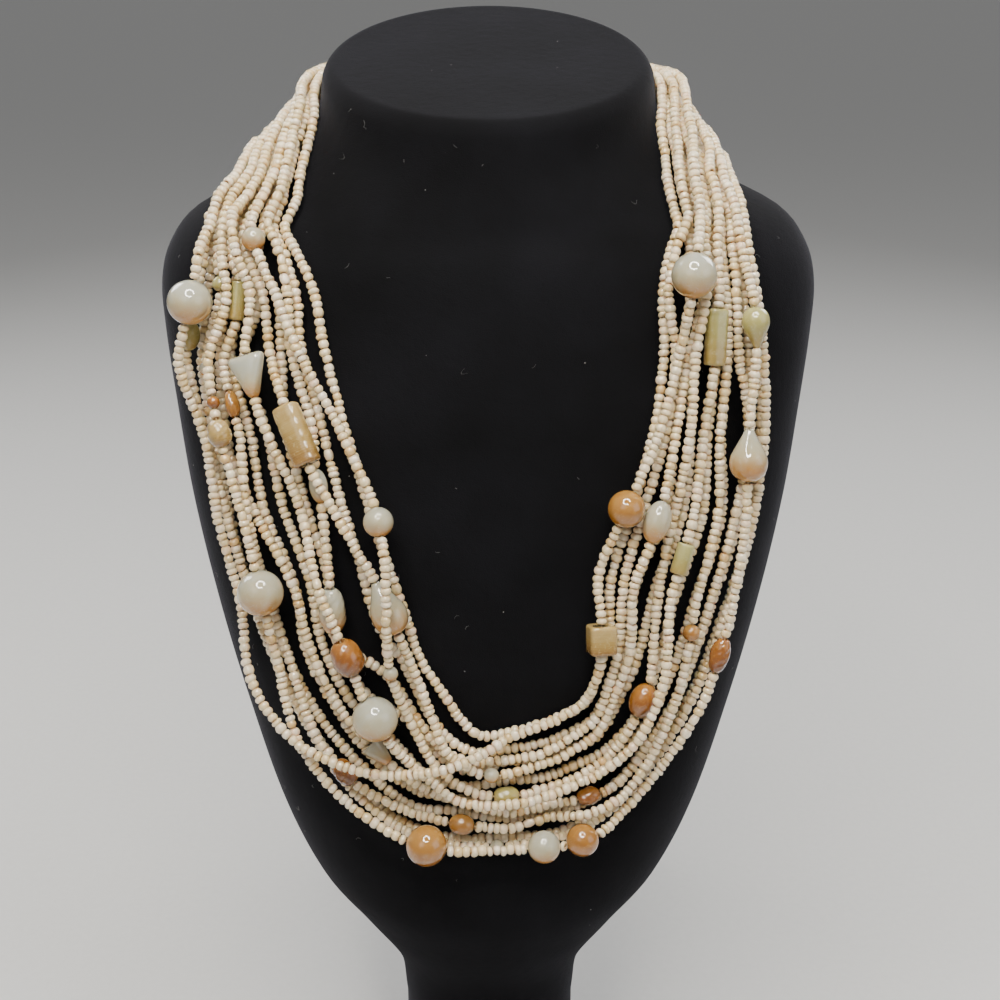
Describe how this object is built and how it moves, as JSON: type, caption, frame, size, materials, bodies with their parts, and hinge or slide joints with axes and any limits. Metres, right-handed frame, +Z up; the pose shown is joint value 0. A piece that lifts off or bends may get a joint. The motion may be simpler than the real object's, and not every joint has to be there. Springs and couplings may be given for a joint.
{
  "type": "multi strand necklace on neck bust",
  "caption": "Long collar of many strands of cream seed beads with stone beads strung in, worn by a plain velvet neck bust that shows it upright.",
  "frame": {"origin": "under the middle of the foot, on the surface that the bust stands on", "axes": "+Z up along the bust, the chest and the front of the necklace face -Y, +X to the right as seen from the front"},
  "size_m": [0.1874, 0.1582, 0.3548],
  "materials": {
    "velvet": "black velvet",
    "foot": "black velvet over a flat board",
    "clasp": "satin",
    "seed_beads": "opaque cream glass with a pearly lustre",
    "white_stone": "polished milky white quartz",
    "peach_stone": "polished peach chalcedony",
    "orange_stone": "polished orange-brown agate",
    "tan_stone": "polished tan agate",
    "green_stone": "polished pale green chalcedony"
  },
  "bodies": {
    "root": {"bust": "velvet", "foot": "foot", "clasp": "clasp", "strand_01": "seed_beads", "strand_02": "seed_beads", "strand_03": "seed_beads", "strand_04": "seed_beads", "strand_05": "seed_beads", "strand_06": "seed_beads", "strand_07": "seed_beads", "strand_08": "seed_beads", "strand_09": "seed_beads", "strand_10": "seed_beads", "strand_11": "seed_beads", "strand_12": "seed_beads", "strand_13": "seed_beads", "strand_14": "seed_beads", "strand_15": "seed_beads", "strand_16": "seed_beads", "round_stone_1": "white_stone", "round_stone_2": "green_stone", "round_stone_3": "white_stone", "round_stone_4": "orange_stone", "round_stone_5": "white_stone", "round_stone_6": "white_stone", "round_stone_7": "white_stone", "round_stone_8": "peach_stone", "round_stone_9": "white_stone", "round_stone_10": "white_stone", "round_stone_11": "peach_stone", "round_stone_12": "peach_stone", "round_stone_13": "peach_stone", "round_stone_14": "white_stone", "round_stone_15": "white_stone", "round_stone_16": "white_stone", "round_stone_17": "white_stone", "oval_stone_1": "green_stone", "oval_stone_2": "white_stone", "oval_stone_3": "peach_stone", "oval_stone_4": "orange_stone", "oval_stone_5": "white_stone", "drop_stone_1": "white_stone", "drop_stone_2": "white_stone", "drop_stone_3": "green_stone", "drop_stone_4": "white_stone", "nugget_stone_1": "peach_stone", "nugget_stone_2": "tan_stone", "nugget_stone_3": "white_stone", "nugget_stone_4": "orange_stone", "nugget_stone_5": "orange_stone", "nugget_stone_6": "green_stone", "nugget_stone_7": "orange_stone", "nugget_stone_8": "orange_stone", "tube_stone_1": "green_stone", "tube_stone_2": "green_stone", "ribbed_stone_1": "tan_stone", "ribbed_stone_2": "green_stone", "cube_stone_1": "tan_stone", "cone_stone_1": "white_stone"}
  },
  "joints": []
}
